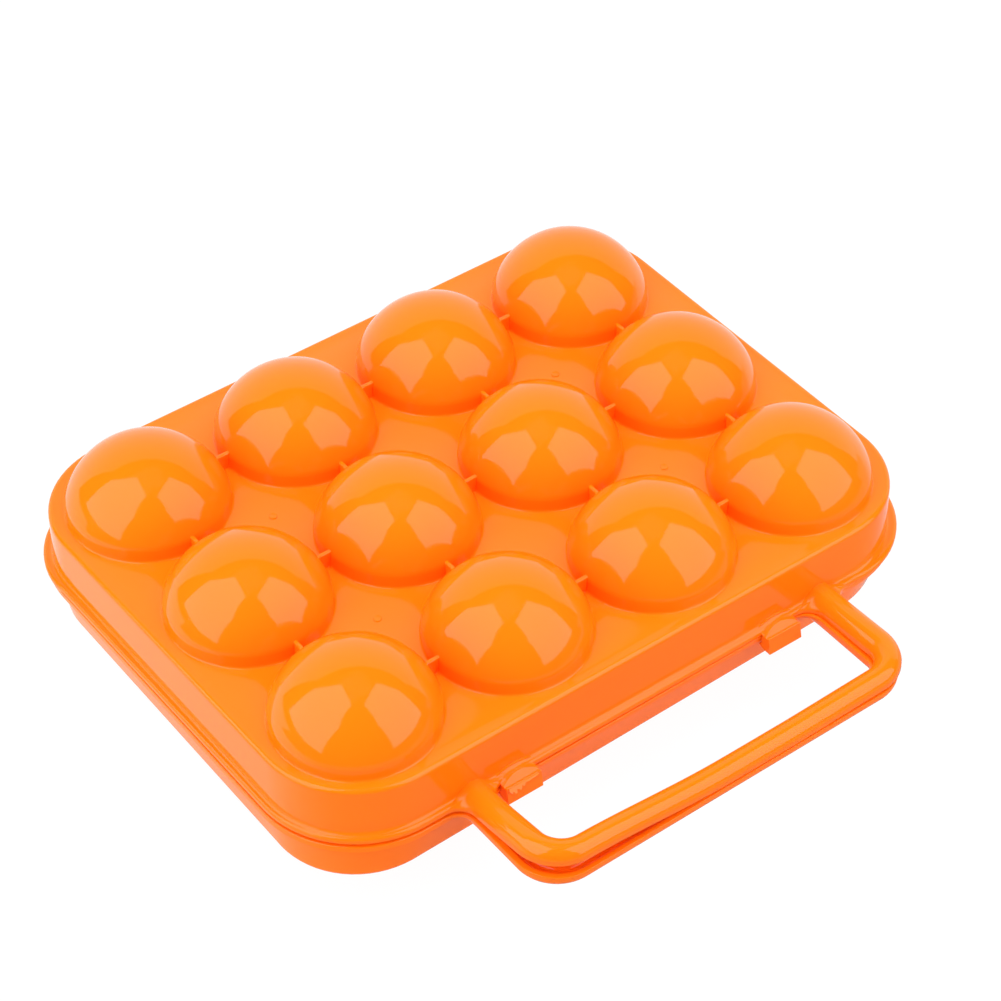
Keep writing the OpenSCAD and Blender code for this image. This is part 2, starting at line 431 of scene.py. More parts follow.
@dataclass(frozen=True)
class Layout:
    """Sizes that the two mouldings share, in millimetres."""

    columns: int = 4
    rows: int = 3
    pitch: float = 47
    row_pitch: float = 47.54
    dome_shift: Spot = (-1.1, -1.16)
    lid_z: float = 28.8
    lid_h: float = 17.2
    tray_z: float = 13.3
    tray_h: float = 15.4
    wall: float = 1.6
    flange_t: float = 1.8
    hinge_x: float = 45.5
    hinge_y: float = 80.2
    hinge_z: float = 28.65
    latch_x: float = 42.65
    latch_w: float = 10.8
    latch_y: float = -80.26
    handle_x: float = 1.33
    arm_x: float = 56.78
    grip_y: float = -107.5
    bend_r: float = 9.0
    middle_y: float = 13.625
    right_in: float = 0.22
    round_steps: int = 18
    reach: float = 200

    @property
    def corner(self) -> Spot:
        """Where the corner cells lie from the middle."""
        return (self.columns - 1) * self.pitch / 2, (self.rows - 1) * self.row_pitch / 2

    @property
    def front(self) -> float:
        """Place of the front row of cells."""
        return self.middle_y - self.corner[1]

    @property
    def plate_z(self) -> float:
        """Height of the lid's plate."""
        return self.lid_z + self.lid_h

    def spot(self, column: float, row: float, shift: Spot = (0, 0)) -> Spot:
        """Finds a place of the cell grid.

        Args:
            column: Column of the cell, where halves lie between two cells.
            row: Row of the cell.
            shift: How far the grid is shifted.

        Returns:
            The place.
        """
        across, along = self.corner
        x, y = column * self.pitch - across, row * self.row_pitch - along
        return x + shift[0], y + self.middle_y + shift[1]

    def cells(self, shift: Spot = (0, 0)) -> list[Spot]:
        """Middles of the egg cells, from the first row at the front left."""
        return [self.spot(i, j, shift) for j in range(self.rows) for i in range(self.columns)]

    def plane(self, height: float) -> tuple[Point, Point]:
        """The box that holds every open edge at one height."""
        return (-self.reach, -self.reach, height), (self.reach, self.reach, height)

    def from_corner(self, x: float, y: float) -> tuple[float, float, float]:
        """How far a place lies outside the corner cells' middles: across, along and in all."""
        across, along = self.corner
        out_x, out_y = max(0.0, abs(x) - across), max(0.0, abs(y) - along)
        return out_x, out_y, math.hypot(out_x, out_y)


LAYOUT = Layout()


def revolve(name: str, middle: Spot, base_z: float, profile: Profile, steps: int) -> bpy.types.Object:
    """Turns a profile once round an upright axis.

    Args:
        name: Name of the object.
        middle: Place of the axis.
        base_z: Height from which the profile's heights count.
        profile: Points as distance from the axis and height.
        steps: Faces round the axis.

    Returns:
        The open surface.
    """
    points = [(middle[0] + r, middle[1], base_z + z) for r, z in profile]
    pen = Pen(name, points[0])
    pen.line(points[1:])
    pen.everything()
    pen.turn(360, (*middle, 0), steps)
    return pen.done()


def run_round(name: str, base_z: float, profile: Profile) -> bpy.types.Object:
    """Runs a wall's profile along the four sides and round the four corners.

    Args:
        name: Name of the object.
        base_z: Height from which the profile's heights count.
        profile: Points as distance from the corner's axis and height.

    Returns:
        The open surface.
    """
    across, along = LAYOUT.corner
    right = across - LAYOUT.right_in
    front, back = LAYOUT.middle_y - along, LAYOUT.middle_y + along
    points = [(right + r, front, base_z + z) for r, z in profile]
    pen = Pen(name, points[0])
    pen.line(points[1:])
    pen.everything()
    sides = [
        ((0, 2 * along, 0), (right, back, 0)),
        ((-across - right, 0, 0), (-across, back, 0)),
        ((0, -2 * along, 0), (-across, front, 0)),
        ((across + right, 0, 0), (right, front, 0)),
    ]
    for step, corner in sides:
        pen.slide(step)
        pen.turn(90, corner, LAYOUT.round_steps)
    return pen.done()


@dataclass
class CellField:
    """Rows of round cells that share a plate: the lid's domes or the tray's cups."""

    outer: Profile
    inner: Profile
    base_z: float
    steps: int = 80

    def build(self) -> list[bpy.types.Object]:
        """Models one cell and copies it to every place.

        Returns:
            Every cell, each with its outer and inner surface.
        """
        cells = LAYOUT.cells(LAYOUT.dome_shift)
        first = cells[0]
        skin = revolve("cell_skin", first, self.base_z, self.outer, self.steps)
        lining = revolve("cell_lining", first, self.base_z, self.inner, self.steps)
        cell = gather([skin, lining])
        return copy_to(cell, [(x - first[0], y - first[1], 0) for x, y in cells[1:]])


@dataclass
class Ribs:
    """Short ribs that bridge neighbouring cells."""

    low: float
    high: float
    length: float = 5.4
    thick: float = 1.2
    edge_r: float = 0.35

    def build(self) -> bpy.types.Object:
        """Models the ribs along both directions as one mesh.

        Returns:
            The joined ribs.
        """
        half, thin = self.length / 2, self.thick / 2
        columns, rows, shift = LAYOUT.columns, LAYOUT.rows, LAYOUT.dome_shift
        lying = [(*LAYOUT.spot(i + 0.5, j, shift), 0) for i in range(columns - 1) for j in range(rows)]
        standing = [(*LAYOUT.spot(i, j + 0.5, shift), 0) for i in range(columns) for j in range(rows - 1)]
        made = []
        for x, y, places in ((half, thin, lying), (thin, half, standing)):
            rib = block("rib", (-x, -y, self.low), (x, y, self.high))
            soften(rib, self.edge_r)
            made += copy_to(rib, places)[1:]
            bpy.data.objects.remove(rib)
        return gather(made)


@dataclass
class HandleHalf:
    """One half of the handle loop: an open channel from one root round both corners to the other."""

    grip_r: float
    root_y: float
    edge_y: float
    seat_z: float
    turn: Turn
    lift: float = 0.0
    lift_right: float = 0.0
    lift_over: float = 50
    lift_right_from: float = 15
    lift_right_over: float = 45
    bar_scale: float = 0.85
    right_in: float = 0.0
    skirt: float = 1.2
    flare: float = 0.15
    wall: float = 1.6
    root_r: float = 5.0
    root_fade_from: float = 1.35
    root_fade_over: float = 0.75
    root_rings: tuple[float, ...] = (0.0, 0.2, 0.5, 0.9, 1.5, 2.2, 3.1, 4.2, 5.0, 7.5, 10.5)
    bend_steps: int = 14
    bar_steps: int = 24

    def section(self) -> Profile:
        """Outline of the channel, from the top round the right side, the hollow and the left side."""
        r, s = self.grip_r, self.skirt
        hollow = r - self.wall

        def bow(radius: float, angles: tuple[int, ...]) -> Profile:
            """Points of the rounded back."""
            turns = [math.radians(a) for a in angles]
            return [(radius * math.cos(t), s + radius * math.sin(t)) for t in turns]

        right = bow(r, (90, 76, 63, 51, 40, 30, 21, 13, 6, 0))
        right += [(r + self.flare, 0.35), (r + self.flare - 0.08, 0.1), (r + self.flare - 0.3, 0)]
        right += [(hollow + 0.2, 0), (hollow, s), *bow(hollow, (22, 45, 68, 90))]
        left = [(-x, z) for x, z in reversed(right[1:-1])]
        return right + left

    def root_flare(self, past_edge: float) -> float:
        """How much wider the foot of an arm is at a distance outside the flange's edge."""
        left = max(0.0, self.root_r - max(0.0, past_edge))
        return self.root_r - math.sqrt(max(0.0, self.root_r**2 - left**2))

    def spread(self, arm_x: float, y: float, before: float, after: float) -> None:
        """Widens the foot of the selected ring about the arm's middle.

        Args:
            arm_x: Middle of the arm.
            y: Place of the ring along the arm.
            before: Extra half width that the ring has.
            after: Extra half width that it gets.
        """
        if abs(before - after) < 1e-6:
            return
        mesh = bmesh.from_edit_mesh(bpy.context.object.data)
        ring = [v for v in mesh.verts if v.select]
        side = self.turn.value
        heights = sorted({round(side * (v.co.z / MM - self.seat_z), 3) for v in ring})
        outer = self.grip_r - self.wall / 2
        for height in heights:
            fade = math.exp(-max(0.0, height - self.root_fade_from) / self.root_fade_over)
            row = [
                v
                for v in ring
                if abs(side * (v.co.z / MM - self.seat_z) - height) < 2e-3
                and math.hypot(abs(v.co.x / MM - arm_x), max(0.0, height - self.skirt)) > outer
            ]
            if not row or height > self.skirt + self.grip_r - 0.05:
                continue
            select_only(mesh, row)
            half = abs(row[0].co.x / MM - arm_x)
            wanted = half + (after - before) * fade
            middle = (arm_x * MM, y * MM, row[0].co.z)
            bpy.ops.transform.resize(value=(wanted / half, 1, 1), center_override=middle)
        select_only(mesh, ring)

    def raised(self, x: float, y: float) -> float:
        """How far the half stands off at a place, where the moulding has warped.

        Args:
            x: Place across the carrier.
            y: Place along it.

        Returns:
            The distance, in millimetres.
        """
        grip = LAYOUT.grip_y + LAYOUT.middle_y
        out = smooth_step((self.edge_y - y) / (self.edge_y - grip))
        at_left = self.lift * smooth_step(-x / self.lift_over)
        at_right = self.lift_right * smooth_step((x - self.lift_right_from) / self.lift_right_over)
        return out * (at_left + at_right)

    def lead_arm(self, pen: Pen, x: float, stops: list[float], lift: float, flare: float) -> float:
        """Leads the ring along an arm, whose foot is wider where it meets the flange.

        Args:
            pen: The pen.
            x: Middle of the arm.
            stops: Places of the rings, the first of which is drawn.
            lift: How far the first ring stands off.
            flare: Extra half width that it has.

        Returns:
            How far the last ring stands off.
        """
        for before, stop in zip(stops, stops[1:]):
            pen.slide((0, stop - before, 0))
            height = self.raised(x, stop)
            pen.shift((0, 0, height - lift))
            widened = self.root_flare(self.edge_y - stop)
            self.spread(x, stop, flare, widened)
            lift, flare = height, widened
        return lift

    def lead_bend(self, pen: Pen, centre: Spot, lift: float, at_left: bool) -> float:
        """Leads the ring round a corner of the loop. The bar between the corners is slimmer than the arms.

        Args:
            pen: The pen.
            centre: Middle of the bend.
            lift: How far the ring stands off.
            at_left: Whether it is the left corner.

        Returns:
            How far the last ring stands off.
        """
        step = 90 / self.bend_steps
        shrink = self.bar_scale ** (1 / self.bend_steps)
        scale = shrink if at_left else 1 / shrink
        for i in range(1, self.bend_steps + 1):
            pen.turn(step, (*centre, 0), 1)
            cos, sin = math.cos(math.radians(step * i)), math.sin(math.radians(step * i))
            aside, ahead = (-cos, sin) if at_left else (sin, cos)
            x, y = centre[0] + LAYOUT.bend_r * aside, centre[1] - LAYOUT.bend_r * ahead
            height = self.raised(x, y)
            pen.shift((0, 0, height - lift))
            lift = height
            middle = metres((x, y, self.seat_z + lift))
            bpy.ops.transform.resize(value=(scale,) * 3, center_override=middle)
        return lift

    def build(self) -> bpy.types.Object:
        """Draws the section at the left root and leads it round to the right root.

        Returns:
            The closed mesh of the handle half.
        """
        left, right = LAYOUT.handle_x - LAYOUT.arm_x, LAYOUT.handle_x + LAYOUT.arm_x - self.right_in
        grip = LAYOUT.grip_y + LAYOUT.middle_y
        bend_left, bend_right, bend_y = left + LAYOUT.bend_r, right - LAYOUT.bend_r, grip + LAYOUT.bend_r
        side = self.turn.value
        ring = [(left + x, self.root_y, self.seat_z + side * z) for x, z in self.section()]
        pen = Pen("handle_half", ring[0])
        pen.line(ring[1:])
        pen.close_ring()
        pen.everything()
        rings = [self.edge_y - p for p in self.root_rings if self.edge_y - p > bend_y]
        stops = [self.root_y, *rings, bend_y]
        flare = self.root_flare(-1)
        self.spread(left, self.root_y, 0, flare)
        lift = self.lead_arm(pen, left, stops, 0.0, flare)
        lift = self.lead_bend(pen, (bend_left, bend_y), lift, at_left=True)
        stride = (bend_right - bend_left) / self.bar_steps
        for i in range(1, self.bar_steps + 1):
            pen.slide((stride, 0, 0))
            height = self.raised(bend_left + stride * i, grip)
            pen.shift((0, 0, height - lift))
            lift = height
        lift = self.lead_bend(pen, (bend_right, bend_y), lift, at_left=False)
        self.lead_arm(pen, right, stops[::-1], lift, 0.0)
        half = pen.done()
        reach = LAYOUT.reach
        ends = [((x, self.root_y, 0), (x + reach, self.root_y, reach)) for x in (-reach, 0)]
        fill_openings(half, ends)
        turn_outwards(half)
        return half


@dataclass
class Latch:
    """A latch of the lid: leaning front, lipped ridge, arched flat, bulging fillet to the wall, and hook."""

    slices: int = 12
    cheek_t: float = 1.3
    cheek_low: float = -3.9
    cheek_high: float = 0.35
    cheek_front: float = 0.75
    cheek_back: float = 3.55
    flash_t: float = 0.4
    flash_in: float = 0.5
    flash_behind: float = 0.72
    flash_up: float = 0.55
    flash_lean: float = 0.75
    flash_drop: float = 0.8

    def outline(self, bulge: float) -> Profile:
        """Outline of a slice, as distance behind the lower edge and height over the parting.

        Args:
            bulge: Share of the full bulge, 0 at the latch's ends and 1 in its middle.

        Returns:
            The outline from the lower front edge over the top to the hook.
        """
        fillet = [((2.2, 0.5), (3.36, 2.2)), ((2.9, 0.6), (3.7, 2.22)), ((3.7, 0.85), (4.2, 2.32))]
        fillet += [((4.4, 1.2), (4.62, 2.5)), ((4.85, 1.55), (4.95, 2.7)), ((5.08, 1.8), (5.12, 2.88))]
        fillet += [((5.0, 2.05), (5.0, 3.15)), ((5.06, 2.2), (5.08, 3.32)), ((5.75, 2.3), (5.75, 3.42))]
        front = [(0.0, -4.05), (0.08, -3.6), (0.82, 0.4), (0.86, 0.72), (0.98, 0.84), (1.12, 0.8)]
        front += [(1.3, 0.5), (1.46, 0.3), (1.8, 0.3), (2.06, 0.45)]
        roof = [(a[0] + (b[0] - a[0]) * bulge, a[1] + (b[1] - a[1]) * bulge) for a, b in fillet]
        hook = [(5.7, 0.4), (1.7, 0.2), (1.3, -3.05), (4.4, -3.05), (4.4, -3.35), (2.6, -4.1), (0.2, -4.1)]
        return front + roof + hook

    def build(self) -> list[bpy.types.Object]:
        """Models the left latch slice by slice and copies it to the right.

        Returns:
            Both latches.
        """
        y, z = LAYOUT.latch_y + LAYOUT.middle_y, LAYOUT.lid_z
        left = -LAYOUT.latch_x - LAYOUT.latch_w / 2
        flat, full = self.outline(0), self.outline(1)
        corners = [(left, y + behind, z + up) for behind, up in flat]
        latch = prism("latch", corners, (LAYOUT.latch_w / self.slices, 0, 0), self.slices)
        for vert in latch.data.vertices:
            place = (vert.co.y / MM - y, vert.co.z / MM - z)
            bulge = 1 - ((vert.co.x / MM + LAYOUT.latch_x) / (LAYOUT.latch_w / 2)) ** 2
            row = min(range(len(flat)), key=lambda i: math.dist(flat[i], place))
            vert.co.y += (full[row][0] - flat[row][0]) * bulge * MM
            vert.co.z += (full[row][1] - flat[row][1]) * bulge * MM
        turn_outwards(latch)
        low = (left, y + self.cheek_front, z + self.cheek_low)
        high = (left + self.cheek_t, y + self.cheek_back, z + self.cheek_high)
        combine(latch, block("latch_cheek", low, high))
        latches = copy_to(latch, [(2 * LAYOUT.latch_x, 0, 0)])
        combine(latches[0], self.flash())
        return latches

    def flash(self) -> bpy.types.Object:
        """Models the ragged sliver of plastic that hangs from the left latch's ridge.

        Returns:
            The sliver.
        """
        y, z = LAYOUT.latch_y + LAYOUT.middle_y + self.flash_behind, LAYOUT.lid_z + self.flash_up
        left = -LAYOUT.latch_x - LAYOUT.latch_w / 2 + self.flash_in
        ragged = [(0.0, 0.5), (0.5, 1.25), (0.9, 0.8), (1.3, 1.6), (1.8, 1.5), (2.1, 0.7)]
        ragged += [(2.6, 1.0), (3.0, 1.3), (3.5, 1.1), (3.8, 0.5), (4.3, 0.9), (4.7, 0.8)]
        ragged += [(5.0, 0.3), (6.0, 0.45), (8.6, 0.25), (9.4, 0.1)]
        lean, fall = self.flash_lean, self.flash_drop
        outline = [(left + x, y - 0.1 - lean * drop, z - fall * drop) for x, drop in ragged]
        outline += [(left + ragged[-1][0], y - 0.05, z + 0.1), (left, y - 0.05, z + 0.1)]
        return prism("latch_flash", outline, (0, self.flash_t, 0))


@dataclass
class Hinge:
    """Sizes that the lid's ears and the tray's eyes share."""

    knuckle_r: float = 3.0
    eye_w: float = 8.0
    reach: float = 4.55


@dataclass
class HingeEars(Hinge):
    """Ears on the lid's flange, with the pin that the tray's eye snaps over."""

    pin_r: float = 1.5
    ear_arc: Spot = (-182.9, 62.0)
    ear_t: float = 2.2
    gap: float = 0.3

    def build(self) -> bpy.types.Object:
        """Models one ear and pin and copies them to both hinges.

        Returns:
            Both hinges' ears and pins as one mesh.
        """
        y, z = LAYOUT.hinge_y + LAYOUT.middle_y, LAYOUT.hinge_z
        lid = LAYOUT.lid_z
        ring = arc(y, z, self.knuckle_r, *self.ear_arc, 26)
        outline = [(y - self.reach, lid), *ring, (y - self.reach, lid + self.knuckle_r - 0.5)]
        start = LAYOUT.hinge_x + self.eye_w / 2 + self.gap
        ear = prism("hinge_ear", [(start, *point) for point in outline], (self.ear_t, 0, 0))
        apart = self.eye_w + 2 * self.gap + self.ear_t
        ears = copy_to(ear, [(-apart, 0, 0)])
        pin = rod(self.pin_r, apart, (LAYOUT.hinge_x, y, z), 32, (0, math.pi / 2, 0))
        combine(ears[0], ears[1])
        combine(ears[0], pin)
        return gather([ears[0], mirror_copy(ears[0])])


@dataclass
class HingeEyes(Hinge):
    """Slotted eyes on the tray's flange."""

    bore_r: float = 1.58
    upper_end: float = 189.6
    lower_start: float = 255.2
    slot: float = 2.3

    def build(self) -> bpy.types.Object:
        """Models one eye and mirrors it to the other hinge.

        Returns:
            Both eyes as one mesh.
        """
        y, z = LAYOUT.hinge_y + LAYOUT.middle_y, LAYOUT.hinge_z
        lip = math.degrees(math.asin(self.slot / 2 / self.knuckle_r))
        mouth = math.degrees(math.asin(self.slot / 2 / self.bore_r))
        outline = arc(y, z, self.knuckle_r, lip, self.upper_end, 20)
        outline += [(y - self.reach, z - 0.5), (y - self.reach, z - 2.9)]
        outline += arc(y, z, self.knuckle_r, self.lower_start, 360 - lip, 12)
        outline += arc(y, z, self.bore_r, 360 - mouth, mouth, 22)
        start = LAYOUT.hinge_x - self.eye_w / 2
        eye = prism("hinge_eye", [(start, *point) for point in outline], (self.eye_w, 0, 0))
        return gather([eye, mirror_copy(eye)])


@dataclass
class Lid:
    """The upper moulding: plate, domes, shoulder, wall, flange, handle half, latches and hinge ears."""

    shoulder_out: float = 27.05
    shoulder_r: float = 1.3
    wall_out: float = 27.2
    flange_out: float = 28.9
    fillet_r: float = 1.2
    brow_r: float = 1.0
    dome_r: float = 23.0
    dome_rise: float = 19.8
    dome_foot_r: float = 22.08
    skirt_h: float = 4.0
    rib_h: float = 4.9
    rib_root: float = 0.8
    mark_r: float = 1.1
    mark_h: float = 0.25
    mark_root: float = 0.8
    mark_edge_r: float = 0.12
    handle_r: float = 3.8
    handle_in: float = 0.8
    handle_lift: float = 3.2
    handle_lift_right: float = 0.9
    flange_zone: float = 4
    wider_right: float = 1.35
    wider_near_right: float = 0.8
    wider_far_left: float = 0.035
    latch: Latch = field(default_factory=Latch)
    ears: HingeEars = field(default_factory=HingeEars)

    def wall_profile(self) -> Profile:
        """Profile from the plate's edge over the shoulder, the wall and the flange to the inside."""
        top, wall = LAYOUT.lid_h, LAYOUT.wall
        shoulder = self.shoulder_out - self.shoulder_r
        inside = self.shoulder_out - wall
        foot, brow = self.wall_out + self.fillet_r, self.flange_out - self.brow_r
        sweep = math.acos((foot - brow) / (self.fillet_r + self.brow_r))
        lip = LAYOUT.flange_t - self.brow_r * math.sin(sweep)
        root = lip + (self.fillet_r + self.brow_r) * math.sin(sweep)
        turned = math.degrees(sweep)
        return [
            (shoulder - 0.3, top),
            *arc(shoulder, top - self.shoulder_r, self.shoulder_r, 90, 2, 9),
            (self.shoulder_out + 0.01, top - self.shoulder_r - 0.45),
            (self.wall_out - 0.01, root + 0.45),
            *arc(foot, root, self.fillet_r, 180, 180 + turned, 8),
            *arc(brow, lip, self.brow_r, turned, 0, 8)[1:],
            (self.flange_out, 0.25),
            *arc(self.flange_out - 0.15, 0.15, 0.15, 0, -90, 3),
            (self.wall_out - wall + 0.2, 0),
            (self.wall_out - wall, 0.2),
            (self.wall_out - wall - 0.02, 0.8),
            (inside + 0.02, top - wall - 1.5),
            *arc(inside - 1.0, top - wall - 1.0, 1.0, 0, 90, 6),
            (inside - 1.3, top - wall),
        ]

    def dome_profiles(self) -> tuple[Profile, Profile]:
        """Profiles of a dome's outside, with the small fillet round its foot, and of its inside."""
        centre = self.dome_rise - self.dome_r
        foot, wall = self.dome_foot_r, LAYOUT.wall
        low = math.degrees(math.asin((self.skirt_h - centre) / self.dome_r))
        outer = arc(0, centre, self.dome_r, 90, low, 26)
        foot_rows = ((-0.17, 3.2), (-0.06, 1.9), (-0.01, 0.95), (0.02, 0.62))
        foot_rows += ((0.09, 0.38), (0.2, 0.19), (0.36, 0.06), (0.56, 0))
        outer += [(foot + out, up) for out, up in foot_rows]
        radius = self.dome_r - wall
        low = math.degrees(math.asin((self.skirt_h - centre) / radius))
        inner = arc(0, centre, radius, 90, low, 14)
        inner += [(foot - wall - 0.02, 0.2), (foot - wall + 0.05, -wall + 0.35), (foot - wall + 0.4, -wall)]
        inner += [(foot - wall + 0.7, -wall)]
        return outer, inner

    def widen(self, wall: bpy.types.Object) -> None:
        """Draws the flange out on the right side and at the near right and far left corners.

        Args:
            wall: The lid's wall with its flange.
        """
        across, along = LAYOUT.corner
        for vert in wall.data.vertices:
            x, y, z = (c / MM for c in vert.co)
            y -= LAYOUT.middle_y
            out_x, out_y, out = LAYOUT.from_corner(x, y)
            edge = share((out - self.wall_out) / (self.flange_out - self.wall_out))
            if edge == 0 or z > LAYOUT.lid_z + self.flange_zone:
                continue
            corner = edge * (2 * out_x * out_y / out**2) ** 0.5
            if x > 0:
                x += self.wider_right * edge * out_x / out
                y -= self.wider_near_right * corner if y < 0 else 0.0
            elif y > 0:
                bulge = 1 + self.wider_far_left * corner
                x, y = -across - out_x * bulge, along + out_y * bulge
            vert.co = (x * MM, (y + LAYOUT.middle_y) * MM, z * MM)

    def marks(self) -> bpy.types.Object:
        """Low round marks that the mould leaves on the plate.

        Returns:
            The four marks as one mesh.
        """
        columns = (0, LAYOUT.columns - 2)
        shift = LAYOUT.dome_shift
        spots = [LAYOUT.spot(i + 0.5, j + 0.5, shift) for i in columns for j in range(LAYOUT.rows - 1)]
        first = spots[0]
        middle = (*first, LAYOUT.plate_z + (self.mark_h - self.mark_root) / 2)
        mark = rod(self.mark_r, self.mark_h + self.mark_root, middle, 36)
        soften(mark, self.mark_edge_r)
        return gather(copy_to(mark, [(x - first[0], y - first[1], 0) for x, y in spots[1:]]))

    def build(self) -> bpy.types.Object:
        """Models the lid and joins its features into one closed mesh.

        Returns:
            The lid.
        """
        plate = LAYOUT.plate_z
        outer, inner = self.dome_profiles()
        wall = run_round("lid_moulding", LAYOUT.lid_z, self.wall_profile())
        self.widen(wall)
        lid = gather([wall, *CellField(outer, inner, plate).build()])
        fill_openings(lid, [LAYOUT.plane(plate), LAYOUT.plane(plate - LAYOUT.wall)])
        turn_outwards(lid)
        combine(lid, Ribs(plate - self.rib_root, plate + self.rib_h).build())
        root_y, edge_y = LAYOUT.front - self.shoulder_out + self.handle_in, LAYOUT.front - self.flange_out
        lifts = (self.handle_lift, self.handle_lift_right)
        handle = HandleHalf(self.handle_r, root_y, edge_y, LAYOUT.lid_z, Turn.OPEN_BELOW, *lifts)
        combine(lid, handle.build())
        combine(lid, gather(self.latch.build()))
        combine(lid, self.marks())
        combine(lid, self.ears.build())
        return lid


@dataclass(frozen=True)
class Settling:
    """How far the tray has warped.

    Places, the lengths over which a change grows, rim_right and sag are in millimetres. The others are
    shares of how far a place lies outside the middles of the corner cells.
    """

    held_from: float = 21.5
    held_over: float = 1.5
    body_reach: float = 31
    rim_from: float = 27.4
    rim_over: float = 1.4
    corner_out: float = 0.035
    left_in: float = -0.008
    left_front_out: float = 0.034
    right_out: float = 0.01
    front_in: float = -0.082
    front_left_out: float = 0.092
    back_in: float = -0.04
    rim_right: float = 0.9
    sag: float = 1.0


@dataclass
class Tray:
    """The lower moulding: floor, cups, wall, flange, handle half and hinge eyes."""

    floor_out: float = 25.4
    wall_out: float = 27.2
    flange_out: float = 28.95
    heel_r: float = 2.4
    cup_r: float = 22.1
    cup_centre_z: float = 21.5
    cup_steps: int = 72
    rib_h: float = 4.9
    rib_root: float = 0.8
    rib_length: float = 8.4
    handle_r: float = 3.85
    handle_in: float = 0.2
    handle_right_in: float = 0.7
    warp: Settling = field(default_factory=Settling)
    eyes: HingeEyes = field(default_factory=HingeEyes)

    def wall_profile(self) -> Profile:
        """Profile from the floor's edge over the heel, the wall and the flange to the inside."""
        top, wall = LAYOUT.tray_h, LAYOUT.wall
        heel = self.floor_out - self.heel_r
        rim = top - LAYOUT.flange_t
        inner_heel = self.floor_out - wall
        return [
            (heel - 0.1, 0),
            *arc(heel, self.heel_r, self.heel_r, -90, -7, 10),
            (self.floor_out + 0.03, self.heel_r + 0.5),
            (self.wall_out - 0.03, rim - 0.7),
            *arc(self.wall_out + 0.3, rim - 0.3, 0.3, 176, 90, 3),
            (self.flange_out - 0.1, rim),
            (self.flange_out, rim + 0.1),
            (self.flange_out, top - 0.5),
            *arc(self.flange_out - 0.4, top - 0.4, 0.4, 0, 90, 5),
            (self.wall_out - wall + 0.2, top),
            (self.wall_out - wall, top - 0.2),
            (self.wall_out - wall - 0.03, top - 0.8),
            (inner_heel + 0.05, self.heel_r + 0.6),
            *arc(inner_heel - 1.5, wall + 1.5, 1.5, 0, -90, 6),
            (inner_heel - 1.9, wall),
        ]

    def cup_profiles(self) -> tuple[Profile, Profile]:
        """Profiles of a cup's outside, which stands on its flat foot, and of its inside."""
        centre = self.cup_centre_z - LAYOUT.tray_z
        foot = math.degrees(math.asin(self.cup_centre_z / self.cup_r))
        rim = math.degrees(math.asin((centre + 0.5) / self.cup_r))
        edge = math.sqrt(self.cup_r**2 - centre**2)
        outer = [(0.001, -LAYOUT.tray_z), *arc(0, centre, self.cup_r, -foot, -rim, 20)]
        outer += [(edge + 0.08, -0.18), (edge + 0.3, -0.02), (edge + 0.4, 0)]
        inner_r = self.cup_r - LAYOUT.wall
        top = math.degrees(math.asin((centre - LAYOUT.wall + 0.4) / inner_r))
        lip = math.sqrt(inner_r**2 - (centre - LAYOUT.wall) ** 2)
        inner = arc(0, centre, inner_r, -90, -top, 20)
        inner += [(lip + 0.1, LAYOUT.wall - 0.1), (lip + 0.3, LAYOUT.wall), (lip + 0.6, LAYOUT.wall)]
        return outer, inner

    def settle(self, tray: bpy.types.Object) -> None:
        """Draws the walls in towards the floor and lets the near left corner sag, as the moulding has.

        Args:
            tray: The tray without its hinge eyes.
        """
        warp = self.warp
        across, along = LAYOUT.corner
        rim = LAYOUT.tray_z + LAYOUT.tray_h
        for vert in tray.data.vertices:
            x, y, z = (c / MM for c in vert.co)
            y -= LAYOUT.middle_y
            out_x, out_y, out = LAYOUT.from_corner(x, y)
            held = share((out - warp.held_from) / warp.held_over)
            if held == 0:
                continue
            leftward, forward = share(0.5 - x / 2 / across), share(0.5 - y / 2 / along)
            near = leftward * forward
            on_body = out < warp.body_reach
            low = min(1.0, (rim - z) / LAYOUT.tray_h) * held if on_body else 0.0
            corner = warp.corner_out * near * 2 * out_x * out_y / out**2
            across_by = (warp.left_in + warp.left_front_out * forward if x < 0 else warp.right_out) + corner
            along_by = (warp.front_in + warp.front_left_out * leftward if y < 0 else warp.back_in) + corner
            rim_edge = share((out - warp.rim_from) / warp.rim_over) if on_body else 0.0
            rim_by = warp.rim_right * rim_edge * out_x / out if x > 0 else 0.0
            x += math.copysign(out_x, x) * across_by * low + rim_by
            y += math.copysign(out_y, y) * along_by * low
            vert.co = (x * MM, (y + LAYOUT.middle_y) * MM, (z - warp.sag * near * held * (1 - low)) * MM)

    def build(self) -> bpy.types.Object:
        """Models the tray and joins its features into one closed mesh.

        Returns:
            The tray.
        """
        floor = LAYOUT.tray_z
        outer, inner = self.cup_profiles()
        wall = run_round("tray_moulding", floor, self.wall_profile())
        tray = gather([wall, *CellField(outer, inner, floor, self.cup_steps).build()])
        fill_openings(tray, [LAYOUT.plane(floor), LAYOUT.plane(floor + LAYOUT.wall)])
        turn_outwards(tray)
        combine(tray, Ribs(floor - self.rib_h, floor + self.rib_root, self.rib_length).build())
        root_y, edge_y = LAYOUT.front - self.floor_out + self.handle_in, LAYOUT.front - self.flange_out
        top, narrower = floor + LAYOUT.tray_h, self.handle_right_in
        handle = HandleHalf(self.handle_r, root_y, edge_y, top, Turn.OPEN_ABOVE, right_in=narrower)
        combine(tray, handle.build())
        self.settle(tray)
        combine(tray, self.eyes.build())
        return tray


@dataclass(frozen=True)
class Socket:
    """One input or output of a node group."""

    name: str
    kind: str = "NodeSocketFloat"
    value: float | None = None


